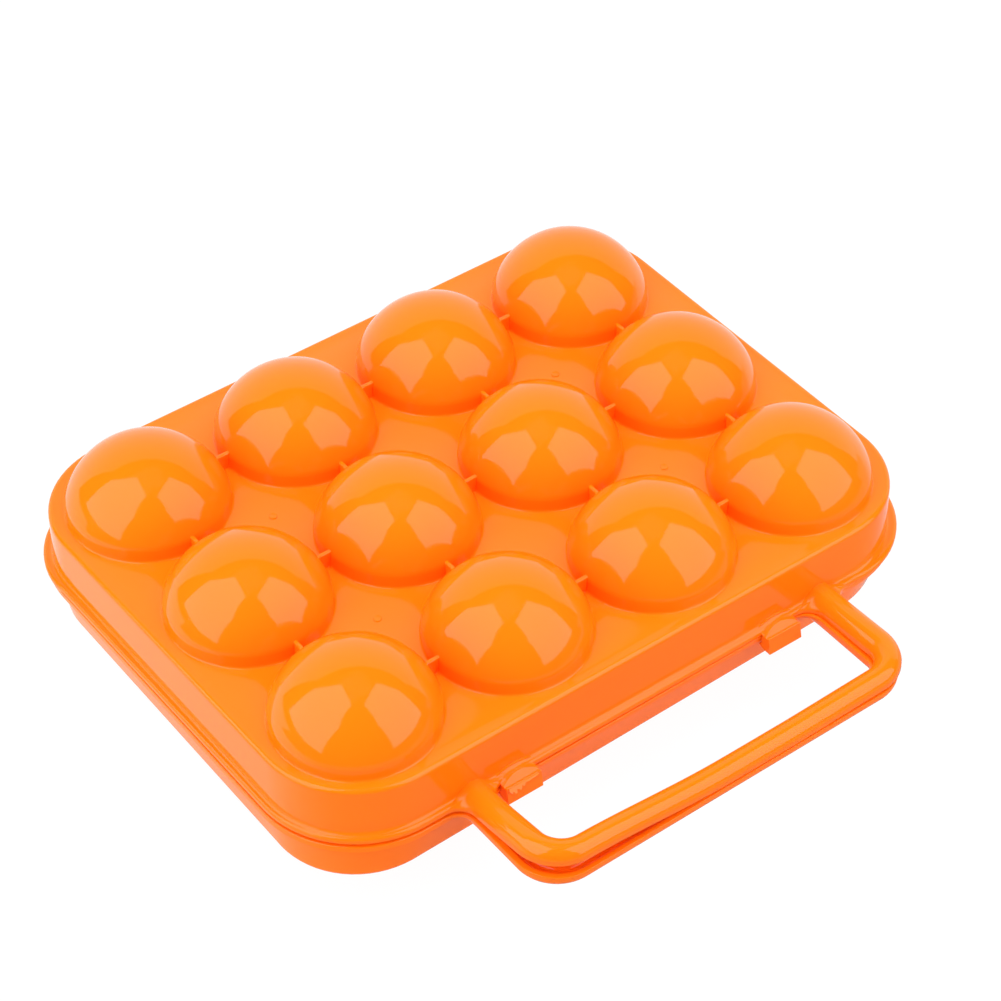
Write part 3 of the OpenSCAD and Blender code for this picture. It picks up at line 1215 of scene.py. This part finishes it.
def wire(
    tree: bpy.types.NodeTree, kind: str, inputs: dict | None = None, **settings: object
) -> bpy.types.Node:
    """Adds a node, sets it up and feeds its inputs.

    Args:
        tree: The node tree.
        kind: Type of the node.
        inputs: Value or source socket of each input, by its name or number.
        settings: Settings of the node itself.

    Returns:
        The node.
    """
    node = tree.nodes.new(kind)
    for name, value in settings.items():
        setattr(node, name, value)
    for key, value in (inputs or {}).items():
        if isinstance(value, bpy.types.NodeSocket):
            tree.links.new(value, node.inputs[key])
        else:
            node.inputs[key].default_value = value
    return node


def count(tree: bpy.types.NodeTree, operation: str, first: object, second: object) -> bpy.types.NodeSocket:
    """Adds a Math node and returns its result.

    Args:
        tree: The node tree.
        operation: What the node does.
        first: First value or source socket.
        second: Second value or source socket.

    Returns:
        The socket with the result.
    """
    return wire(tree, "ShaderNodeMath", {0: first, 1: second}, operation=operation).outputs[0]


def seen_rays(tree: bpy.types.NodeTree) -> tuple[bpy.types.NodeSocket, bpy.types.NodeSocket]:
    """Adds the test for rays that show a surface, and not the light that it throws back.

    Args:
        tree: The node tree.

    Returns:
        The socket for camera rays, and the one for camera, glossy and transmission rays.
    """
    path = wire(tree, "ShaderNodeLightPath").outputs
    seen = count(tree, "MAXIMUM", path["Is Camera Ray"], path["Is Glossy Ray"])
    return path["Is Camera Ray"], count(tree, "MAXIMUM", seen, path["Is Transmission Ray"])


def object_place(tree: bpy.types.NodeTree, axis: str) -> bpy.types.NodeSocket:
    """Adds the place along one axis of the object and returns its socket."""
    place = wire(tree, "ShaderNodeTexCoord")
    return wire(tree, "ShaderNodeSeparateXYZ", {0: place.outputs["Object"]}).outputs[axis]


def empty_material(name: str) -> bpy.types.Material:
    """Makes a material whose node tree is still empty.

    Args:
        name: Its name.

    Returns:
        The material.
    """
    made = bpy.data.materials.new(name)
    made.use_nodes = True
    made.node_tree.nodes.clear()
    return made


def moulded_skin(grain_share: float = 0.04) -> bpy.types.NodeTree:
    """Makes the group for the skin of moulded plastic: soft ripple, fine grain and pigment drift.

    Args:
        grain_share: Height of the grain over that of the ripple.

    Returns:
        The node group.
    """
    group = bpy.data.node_groups.new("moulded_skin", "ShaderNodeTree")
    inputs = [Socket("Place", "NodeSocketVector"), Socket("Ripple", value=120.0)]
    inputs += [Socket("Grain", value=1600.0), Socket("Drift", value=9.0)]
    outputs = [Socket("Height"), Socket("Tone"), Socket("Sheen")]
    for sockets, way in ((inputs, "INPUT"), (outputs, "OUTPUT")):
        for item in sockets:
            socket = group.interface.new_socket(name=item.name, in_out=way, socket_type=item.kind)
            if item.value is not None:
                socket.default_value = item.value
    given = group.nodes.new("NodeGroupInput").outputs
    noise = {}
    for scale, detail in (("Ripple", 1.0), ("Grain", 2.0), ("Drift", 3.0)):
        feeds = {"Vector": given["Place"], "Scale": given[scale], "Detail": detail}
        noise[scale] = wire(group, "ShaderNodeTexNoise", feeds).outputs["Fac"]
    small = count(group, "MULTIPLY", noise["Grain"], grain_share)
    height = count(group, "ADD", noise["Ripple"], small)
    wire(group, "NodeGroupOutput", {"Height": height, "Tone": noise["Drift"], "Sheen": noise["Grain"]})
    return group


@dataclass(frozen=True)
class GlossyPlastic:
    """Finish of the mouldings: saturated orange polypropylene, glossy and slightly waxy."""

    name: str = "glossy_orange"
    colour: Point = (1.0, 0.192, 0.004)
    deep: Point = (0.99, 0.172, 0.003)
    ior: float = 1.39
    smooth: float = 0.06
    rough: float = 0.095
    ripple_height: float = 0.0000045
    # Painted glow: a faint even red emission over the whole surface, in place of light scattered through the
    # plastic into its gaps.
    painted_glow_colour: Point = (1.0, 0.07, 0.0)
    painted_glow_level: float = 0.06

    def material(self, skin: bpy.types.NodeTree) -> bpy.types.Material:
        """Builds the material, with a faint painted red glow that lights the whole surface evenly and stands
        in for light scattered through the plastic into its gaps.

        Args:
            skin: The node group for moulded plastic.

        Returns:
            The material.
        """
        made = bpy.data.materials.new(self.name)
        made.use_nodes = True
        tree = made.node_tree
        shader = tree.nodes["Principled BSDF"].inputs
        shader["IOR"].default_value = self.ior
        # Painted glow: the plastic emits a little red light everywhere, so its gaps look brighter as
        # scattered light would make them.
        shader["Emission Color"].default_value = (*self.painted_glow_colour, 1)
        shader["Emission Strength"].default_value = self.painted_glow_level
        place = wire(tree, "ShaderNodeTexCoord")
        surface = wire(tree, "ShaderNodeGroup", node_tree=skin)
        tree.links.new(place.outputs["Object"], surface.inputs["Place"])
        mix = {"Factor": surface.outputs["Tone"], "A": (*self.deep, 1), "B": (*self.colour, 1)}
        tint = wire(tree, "ShaderNodeMix", mix, data_type="RGBA")
        tree.links.new(tint.outputs["Result"], shader["Base Color"])
        span = {"Value": surface.outputs["Sheen"], "To Min": self.smooth, "To Max": self.rough}
        tree.links.new(wire(tree, "ShaderNodeMapRange", span).outputs["Result"], shader["Roughness"])
        relief = {"Distance": self.ripple_height, "Height": surface.outputs["Height"]}
        tree.links.new(wire(tree, "ShaderNodeBump", relief).outputs["Normal"], shader["Normal"])
        return made


def dress(
    piece: bpy.types.Object, material: bpy.types.Material, node: str, body: str, smooth_below: float = 34
) -> None:
    """Gives a moulding its finish and binds it to the frame.

    Args:
        piece: The moulding.
        material: Its finish.
        node: The node of the frame that it stands for.
        body: The body that it moves with.
        smooth_below: Angle in degrees up to which an edge is shaded smooth.
    """
    pick(piece)
    bpy.ops.object.shade_smooth_by_angle(angle=math.radians(smooth_below))
    piece.data.materials.clear()
    piece.data.materials.append(material)
    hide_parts(node)
    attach(piece, body)


@dataclass(frozen=True)
class Glow:
    """Light of a lamp panel, which shines to its front side only and may fade over its height."""

    name: str
    strength: float
    low_strength: float | None = None
    height: float = 1.0

    def material(self) -> bpy.types.Material:
        """Builds the material.

        Returns:
            The material.
        """
        made = empty_material(self.name)
        tree = made.node_tree
        side = wire(tree, "ShaderNodeNewGeometry")
        front = count(tree, "SUBTRACT", 1, side.outputs["Backfacing"])
        level = self.strength
        if self.low_strength is not None:
            span = {"Value": object_place(tree, "Z"), "From Max": self.height}
            span |= {"To Min": self.low_strength, "To Max": self.strength}
            level = wire(tree, "ShaderNodeMapRange", span).outputs["Result"]
        shown = count(tree, "MULTIPLY", front, level)
        shine = wire(tree, "ShaderNodeEmission", {"Strength": shown})
        wire(tree, "ShaderNodeOutputMaterial", {"Surface": shine.outputs[0]})
        return made


def set_studio_piece(piece: bpy.types.Object, light: Glow, only_gloss: bool = False) -> None:
    """Gives a lamp or a curtain its light and hides it from the camera.

    Args:
        piece: The object.
        light: Its light.
        only_gloss: Whether only reflections see it, so that it neither lights nor shades.
    """
    piece.data.materials.clear()
    piece.data.materials.append(light.material())
    piece.visible_camera = False
    if only_gloss:
        piece.visible_diffuse = False
        piece.visible_shadow = False


def directions(azimuth: float) -> tuple[Vector, Vector]:
    """Level directions towards an azimuth, in degrees from the back to the right, and to its right."""
    turned = math.radians(azimuth)
    return Vector((math.sin(turned), math.cos(turned), 0)), Vector((math.cos(turned), -math.sin(turned), 0))


@dataclass(frozen=True)
class Softbox:
    """A wide lamp strip that arches from the floor up beside the object."""

    name: str
    azimuth: float
    half_width: float
    roll: float
    low: float
    high: float
    radiance: float
    taper: float
    distance: float = 900.0
    hub: Point = (0.0, 8.0, 45.0)
    across: int = 8
    steps: int = 24
    straight: int = 14

    def build(self) -> None:
        """Draws the strip's lower edge and spins it upwards round the object."""
        ahead, beside = directions(self.azimuth)
        rolled = math.radians(self.roll)
        axis = beside * math.cos(rolled) - Vector((0, 0, 1)) * math.sin(rolled)
        upward = Vector((0, 0, 1)) * math.cos(rolled) + beside * math.sin(rolled)
        hub = Vector(self.hub)

        def middle_at(height: float) -> Vector:
            """Middle of the strip at an angle of height."""
            raised = math.radians(height)
            return hub + (ahead * math.cos(raised) + upward * math.sin(raised)) * self.distance

        middle, half = middle_at(self.low), self.across / 2
        edge = [middle + axis * self.half_width * (i / half - 1) for i in range(self.across + 1)]
        pen = Pen(self.name, tuple(edge[0]))
        pen.line([tuple(p) for p in edge[1:]])
        pen.everything()
        shrink = self.taper ** (1 / (self.steps - self.straight))
        for i in range(1, self.steps + 1):
            pen.turn((self.high - self.low) / self.steps, tuple(hub), 1, tuple(axis))
            if i > self.straight:
                middle = metres(middle_at(self.low + (self.high - self.low) * i / self.steps))
                bpy.ops.transform.resize(value=(shrink,) * 3, center_override=middle)
        lamp = pen.done()
        turn_towards(lamp, hub * MM)
        set_studio_piece(lamp, Glow(self.name, self.radiance))


@dataclass(frozen=True)
class Fade:
    """A level that changes evenly from the front to the back of the table and stays even outside."""

    places: Spot
    levels: Spot

    def socket(self, tree: bpy.types.NodeTree, along: bpy.types.NodeSocket) -> bpy.types.NodeSocket:
        """Adds the level to a material.

        Args:
            tree: The material's nodes.
            along: Socket with the place, in metres.

        Returns:
            The socket with the level.
        """
        span = {"Value": along, "From Min": self.places[0], "From Max": self.places[1]}
        span |= {"To Min": self.levels[0], "To Max": self.levels[1]}
        return wire(tree, "ShaderNodeMapRange", span).outputs["Result"]


@dataclass(frozen=True)
class Lamp:
    """A soft lamp that shows in no reflection."""

    watts: float
    place: Point
    size: float = 0.6
    aim: Point = (0, 0, 0.03)

    def build(self) -> None:
        """Hangs the lamp up and turns it to the object."""
        deselect()
        facing = (Vector(self.place) - Vector(self.aim)).to_track_quat("Z", "Y").to_euler()
        bpy.ops.object.light_add(type="AREA", location=self.place, rotation=facing)
        lamp = bpy.context.object
        lamp.name = "soft_lamp"
        lamp.data.size = self.size
        lamp.data.energy = self.watts
        lamp.visible_glossy = False
        lamp.visible_camera = False


@dataclass(frozen=True)
class Studio:
    """Soft white studio: two softboxes, a back panel, a dark curtain, three soft lamps and a white table."""

    left: Softbox = Softbox("softbox_left", -78, 486, -6.5, 6.0, 75.5, 2.5, 0.48)
    right: Softbox = Softbox("softbox_right", 149, 433, 2.0, 4.5, 71, 2.35, 0.62)
    above: Lamp = Lamp(6.3, (0, 0, 1.1))
    aside: Lamp = Lamp(12.8, (-1.1, 0.3, 0.4))
    ahead: Lamp = Lamp(5.6, (0.7, -1.0, 0.35))
    panel_azimuth: float = 28.0
    panel_distance: float = 900.0
    panel_sweep: Spot = (56, 72)
    panel_rise: float = 1.8
    panel_top: float = 0.62
    panel_foot: float = 1.05
    hub_y: float = 8
    hub_z: float = 45
    room_r: float = 3.4
    room_h: float = 3.6
    room_floor_z: float = 0.0004
    room_level: float = 0.035
    open_floor: Spot = (-60, 110)
    fill: float = 0.2
    table_white: float = 0.93
    table_level: float = 1.04
    table_r: float = 360.0
    floor_r: float = 6.0
    bounce: Fade = Fade((-0.12, 0.0), (0.6, 0.86))
    near: Fade = Fade((-0.071, -0.021), (0.33, 0.85))
    far: Fade = Fade((-0.021, 0.084), (0.0, 0.15))

    def back_panel(self) -> None:
        """Stands the wide panel up behind the object."""
        ahead, beside = directions(self.panel_azimuth)
        middle = ahead * self.panel_distance + Vector((0, self.hub_y, 0))
        to_left, to_right = (self.panel_distance * math.tan(math.radians(a)) for a in self.panel_sweep)
        height = self.panel_rise * self.panel_distance + self.hub_z
        pen = Pen("back_panel", tuple(middle - beside * to_left))
        pen.line([tuple(middle + beside * to_right)])
        pen.everything()
        pen.slide((0, 0, height))
        panel = pen.done()
        turn_towards(panel, Vector((0, 0, 0)))
        set_studio_piece(panel, Glow("back_panel", self.panel_top, self.panel_foot, height * MM))

    def curtain(self) -> None:
        """Hangs the dark room that only reflections see: walls, ceiling and the floor past the table."""
        deselect()
        bpy.ops.mesh.primitive_cylinder_add(
            vertices=64, radius=self.room_r, depth=self.room_h, location=(0, 0, self.room_h / 2)
        )
        room = bpy.context.object
        room.name = "curtain"
        bpy.ops.object.transform_apply(location=True, rotation=True, scale=True)
        bpy.ops.object.mode_set(mode="EDIT")
        bpy.ops.mesh.select_all(action="DESELECT")
        mesh = bmesh.from_edit_mesh(room.data)
        for face in mesh.faces:
            face.select = face.normal.z < -0.5
        bmesh.update_edit_mesh(room.data)
        bpy.ops.mesh.inset(thickness=self.room_r - self.table_r * MM)
        bpy.ops.mesh.delete(type="FACE")
        bpy.ops.mesh.select_all(action="DESELECT")
        mesh = bmesh.from_edit_mesh(room.data)
        for face in mesh.faces:
            middle = face.calc_center_median()
            azimuth = math.degrees(math.atan2(middle.x, middle.y))
            face.select = face.normal.z < -0.5 and self.open_floor[0] < azimuth < self.open_floor[1]
        bmesh.update_edit_mesh(room.data)
        bpy.ops.mesh.delete(type="FACE")
        bpy.ops.mesh.select_all(action="SELECT")
        bpy.ops.transform.translate(value=(0, 0, self.room_floor_z))
        bpy.ops.mesh.flip_normals()
        bpy.ops.object.mode_set(mode="OBJECT")
        set_studio_piece(room, Glow("curtain", self.room_level), only_gloss=True)

    def table(self) -> None:
        """Lays the white floor: it reads white and keeps the object's soft shadow."""
        deselect()
        bpy.ops.mesh.primitive_circle_add(
            vertices=96, radius=self.floor_r, fill_type="NGON", location=(0, 0, 0)
        )
        floor = bpy.context.object
        floor.name = "floor"
        made = empty_material("white_table")
        tree = made.node_tree
        along = object_place(tree, "Y")
        plain = wire(tree, "ShaderNodeBsdfDiffuse", {"Color": self.bounce.socket(tree, along)})
        mirrored = count(tree, "ADD", self.near.socket(tree, along), self.far.socket(tree, along))
        camera, seen = seen_rays(tree)
        level = wire(tree, "ShaderNodeMix", {"Factor": camera, "A": mirrored, "B": self.table_level})
        white = wire(tree, "ShaderNodeEmission", {"Strength": level.outputs["Result"]})
        covered = count(tree, "MULTIPLY", seen, self.table_white)
        mix = wire(tree, "ShaderNodeMixShader", {0: covered, 1: plain.outputs[0], 2: white.outputs[0]})
        wire(tree, "ShaderNodeOutputMaterial", {"Surface": mix.outputs[0]})
        floor.data.materials.append(made)

    def world(self) -> None:
        """Sets a white surround for what the camera and the gloss see, and a plain fill light."""
        sky = bpy.data.worlds.new("studio")
        bpy.context.scene.world = sky
        sky.use_nodes = True
        tree = sky.node_tree
        back = tree.nodes["Background"]
        back.inputs["Color"].default_value = (1, 1, 1, 1)
        span = {"Value": seen_rays(tree)[1], "To Min": self.fill, "To Max": 1.0}
        tree.links.new(wire(tree, "ShaderNodeMapRange", span).outputs["Result"], back.inputs["Strength"])

    def build(self) -> None:
        """Sets up the whole studio."""
        self.left.build()
        self.right.build()
        self.back_panel()
        self.curtain()
        for lamp in (self.above, self.aside, self.ahead):
            lamp.build()
        self.table()
        self.world()


@dataclass(frozen=True)
class PhotoCamera:
    """The camera at the photograph's place."""

    target: Point = (3.258, 4.808, 46.0)
    azimuth: float = -36.680
    elevation: float = 43.245
    roll: float = -0.444
    distance: float = 826.04
    lens: float = 112.25
    sensor: float = 36
    clip: Spot = (0.05, 30)

    def build(self) -> None:
        """Places the camera and makes it the scene's."""
        data = bpy.data.cameras.new("photo_camera")
        data.lens = self.lens
        data.sensor_width = self.sensor
        data.clip_start, data.clip_end = self.clip
        camera = bpy.data.objects.new("photo_camera", data)
        bpy.context.scene.collection.objects.link(camera)
        turned = Euler((math.radians(90 - self.elevation), 0, math.radians(self.azimuth))).to_matrix()
        rolled = Euler((0, 0, math.radians(self.roll))).to_matrix()
        facing = turned @ rolled
        camera.rotation_euler = facing.to_euler()
        away = facing @ Vector((0, 0, 1))
        camera.location = (Vector(self.target) + away * self.distance) * MM
        bpy.context.scene.camera = camera


def report(piece: bpy.types.Object) -> None:
    """Logs a finished piece's size.

    Args:
        piece: The piece.
    """
    triangles = sum(len(face.vertices) - 2 for face in piece.data.polygons)
    LOG.info("%s: %d vertices, %d triangles", piece.name, len(piece.data.vertices), triangles)


def main() -> None:
    """Builds the scene."""
    logging.basicConfig(level=logging.INFO, format="%(name)s: %(message)s")
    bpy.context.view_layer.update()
    plastic = GlossyPlastic().material(moulded_skin())
    for moulding, node, body in ((Lid(), "lid", "lid_body"), (Tray(), "tray", "tray_body")):
        piece = moulding.build()
        dress(piece, plastic, node, body)
        report(piece)
    Studio().build()
    PhotoCamera().build()
    bpy.context.scene.view_settings.view_transform = "Standard"
    bpy.context.view_layer.update()


if __name__ == "__main__":
    main()
